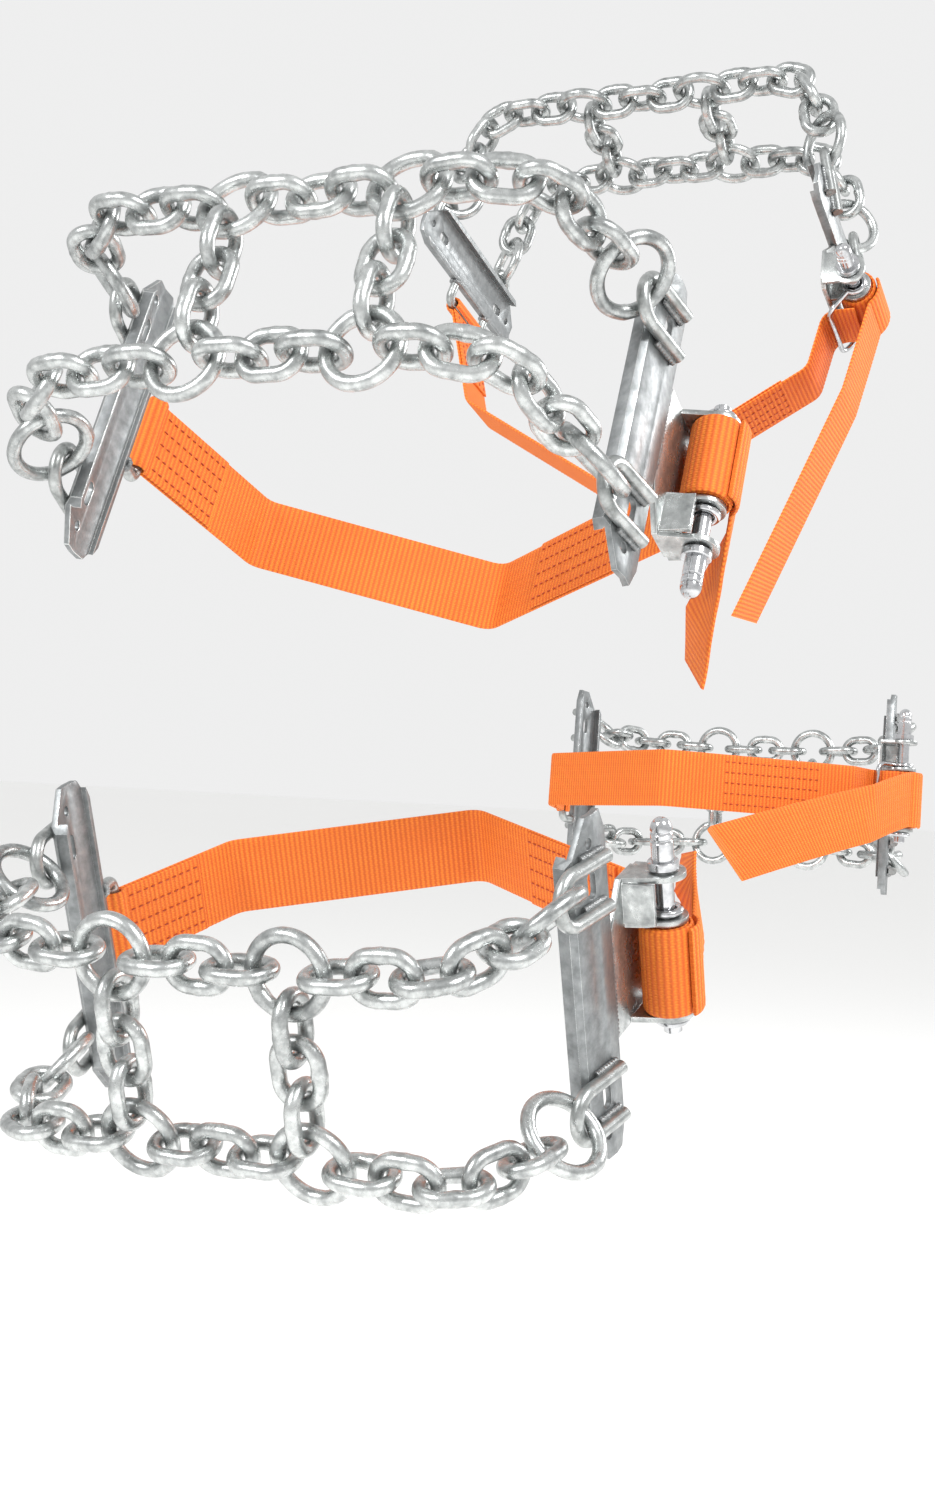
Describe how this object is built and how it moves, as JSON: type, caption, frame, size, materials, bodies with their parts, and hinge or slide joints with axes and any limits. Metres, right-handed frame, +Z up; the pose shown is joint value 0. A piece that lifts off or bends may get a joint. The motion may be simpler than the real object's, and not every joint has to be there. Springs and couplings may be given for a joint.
{
  "type": "tyre snow chains",
  "caption": "Emergency traction chains for a truck tyre: separate ladder-chain sections with pressed steel bars, each drawn tight by an orange webbing strap and a buckle.",
  "frame": {"origin": "centre of the wheel that the sections are fitted round, on its axle line", "axes": "+Z up, the axle along Y, the outer face of the wheel towards -Y, +X to the rear"},
  "size_m": [1.0907, 0.3746, 0.7905],
  "materials": {
    "galvanised_chain": "bright zinc-plated case-hardened links",
    "galvanised_plate": "dull hot-dip galvanised pressed plate",
    "galvanised_rod": "zinc-plated bent rod, welded",
    "plated_steel": "bright nickel-plated turned pin and bent wire",
    "webbing": "woven orange polyester webbing"
  },
  "bodies": {
    "root": {"upper_front_tread_chains": "galvanised_chain", "upper_front_ladder_chains": "galvanised_chain", "upper_front_junction_rings": "galvanised_chain", "upper_front_outer_side_chains": "galvanised_chain", "upper_front_inner_side_chains": "galvanised_chain", "upper_front_inner_bar": "galvanised_plate", "upper_front_inner_eyes": "galvanised_rod", "upper_front_strap": "webbing", "lower_front_tread_chains": "galvanised_chain", "lower_front_ladder_chains": "galvanised_chain", "lower_front_junction_rings": "galvanised_chain", "lower_front_outer_side_chains": "galvanised_chain", "lower_front_inner_side_chains": "galvanised_chain", "lower_front_inner_bar": "galvanised_plate", "lower_front_inner_eyes": "galvanised_rod", "lower_front_strap": "webbing", "upper_rear_tread_chains": "galvanised_chain", "upper_rear_ladder_chains": "galvanised_chain", "upper_rear_junction_rings": "galvanised_chain", "upper_rear_outer_side_chains": "galvanised_chain", "upper_rear_inner_side_chains": "galvanised_chain", "upper_rear_inner_bar": "galvanised_plate", "upper_rear_inner_eyes": "galvanised_rod", "upper_rear_strap": "webbing", "lower_rear_tread_chains": "galvanised_chain", "lower_rear_ladder_chains": "galvanised_chain", "lower_rear_junction_rings": "galvanised_chain", "lower_rear_outer_side_chains": "galvanised_chain", "lower_rear_inner_side_chains": "galvanised_chain", "lower_rear_inner_bar": "galvanised_plate", "lower_rear_inner_eyes": "galvanised_rod", "lower_rear_strap": "webbing"},
    "upper_front_bar": {"upper_front_outer_bar": "galvanised_plate", "upper_front_outer_eyes": "galvanised_rod", "upper_front_buckle_frame": "galvanised_plate"},
    "upper_front_spindle": {"upper_front_spindle": "plated_steel", "upper_front_webbing_roll": "webbing"},
    "upper_front_bail": {"upper_front_lock_bail": "plated_steel"},
    "upper_front_tail": {"upper_front_strap_tail": "webbing"},
    "lower_front_bar": {"lower_front_outer_bar": "galvanised_plate", "lower_front_outer_eyes": "galvanised_rod", "lower_front_buckle_frame": "galvanised_plate"},
    "lower_front_spindle": {"lower_front_spindle": "plated_steel", "lower_front_webbing_roll": "webbing"},
    "lower_front_bail": {"lower_front_lock_bail": "plated_steel"},
    "lower_front_tail": {"lower_front_strap_tail": "webbing"},
    "upper_rear_bar": {"upper_rear_outer_bar": "galvanised_plate", "upper_rear_outer_eyes": "galvanised_rod", "upper_rear_buckle_frame": "galvanised_plate"},
    "upper_rear_spindle": {"upper_rear_spindle": "plated_steel", "upper_rear_webbing_roll": "webbing"},
    "upper_rear_bail": {"upper_rear_lock_bail": "plated_steel"},
    "upper_rear_tail": {"upper_rear_strap_tail": "webbing"},
    "lower_rear_bar": {"lower_rear_outer_bar": "galvanised_plate", "lower_rear_outer_eyes": "galvanised_rod", "lower_rear_buckle_frame": "galvanised_plate"},
    "lower_rear_spindle": {"lower_rear_spindle": "plated_steel", "lower_rear_webbing_roll": "webbing"},
    "lower_rear_bail": {"lower_rear_lock_bail": "plated_steel"},
    "lower_rear_tail": {"lower_rear_strap_tail": "webbing"}
  },
  "joints": [
    {"name": "upper_front_bar_swing", "type": "hinge", "parent": "root", "child": "upper_front_bar", "pos_m": [-0.39156, -0.16343, 0.17433], "axis": [-0.4067, 0, -0.9135], "range_deg": [0, 5]},
    {"name": "upper_front_spindle_turn", "type": "hinge", "parent": "upper_front_bar", "child": "upper_front_spindle", "pos_m": [-0.31299, -0.18428, 0.14811], "axis": [-0.4067, 0, -0.9135], "continuous": true},
    {"name": "upper_front_bail_lift", "type": "hinge", "parent": "upper_front_bar", "child": "upper_front_bail", "pos_m": [-0.31299, -0.18428, 0.14811], "axis": [-0.4067, 0, -0.9135], "range_deg": [0, 34]},
    {"name": "upper_front_tail_swing", "type": "hinge", "parent": "upper_front_bar", "child": "upper_front_tail", "pos_m": [-0.29971, -0.19329, 0.1422], "axis": [-0.4067, 0, -0.9135], "range_deg": [0, 30]},
    {"name": "lower_front_bar_swing", "type": "hinge", "parent": "root", "child": "lower_front_bar", "pos_m": [-0.42083, -0.15936, -0.1449], "axis": [0.3256, 0, -0.9455], "range_deg": [0, 5]},
    {"name": "lower_front_spindle_turn", "type": "hinge", "parent": "lower_front_bar", "child": "lower_front_spindle", "pos_m": [-0.34028, -0.18023, -0.12563], "axis": [0.3256, 0, -0.9455], "continuous": true},
    {"name": "lower_front_bail_lift", "type": "hinge", "parent": "lower_front_bar", "child": "lower_front_bail", "pos_m": [-0.34028, -0.18023, -0.12563], "axis": [0.3256, 0, -0.9455], "range_deg": [0, 34]},
    {"name": "lower_front_tail_swing", "type": "hinge", "parent": "lower_front_bar", "child": "lower_front_tail", "pos_m": [-0.32654, -0.18924, -0.1209], "axis": [0.3256, 0, -0.9455], "range_deg": [0, 30]},
    {"name": "upper_rear_bar_swing", "type": "hinge", "parent": "root", "child": "upper_rear_bar", "pos_m": [0.10836, -0.15866, 0.43461], "axis": [-0.9703, 0, 0.2419], "range_deg": [0, 5]},
    {"name": "upper_rear_spindle_turn", "type": "hinge", "parent": "upper_rear_bar", "child": "upper_rear_spindle", "pos_m": [0.09618, -0.17953, 0.35268], "axis": [-0.9703, 0, 0.2419], "continuous": true},
    {"name": "upper_rear_bail_lift", "type": "hinge", "parent": "upper_rear_bar", "child": "upper_rear_bail", "pos_m": [0.09618, -0.17953, 0.35268], "axis": [-0.9703, 0, 0.2419], "range_deg": [0, 34]},
    {"name": "upper_rear_tail_swing", "type": "hinge", "parent": "upper_rear_bar", "child": "upper_rear_tail", "pos_m": [0.09266, -0.18854, 0.33859], "axis": [-0.9703, 0, 0.2419], "range_deg": [0, 30]},
    {"name": "lower_rear_bar_swing", "type": "hinge", "parent": "root", "child": "lower_rear_bar", "pos_m": [0.4364, -0.16124, -0.03052], "axis": [0.0698, 0, 0.9976], "range_deg": [0, 5]},
    {"name": "lower_rear_spindle_turn", "type": "hinge", "parent": "lower_rear_bar", "child": "lower_rear_spindle", "pos_m": [0.3536, -0.1821, -0.03275], "axis": [0.0698, 0, 0.9976], "continuous": true},
    {"name": "lower_rear_bail_lift", "type": "hinge", "parent": "lower_rear_bar", "child": "lower_rear_bail", "pos_m": [0.3536, -0.1821, -0.03275], "axis": [0.0698, 0, 0.9976], "range_deg": [0, 34]},
    {"name": "lower_rear_tail_swing", "type": "hinge", "parent": "lower_rear_bar", "child": "lower_rear_tail", "pos_m": [0.33911, -0.19112, -0.03173], "axis": [0.0698, 0, 0.9976], "range_deg": [0, 30]}
  ]
}
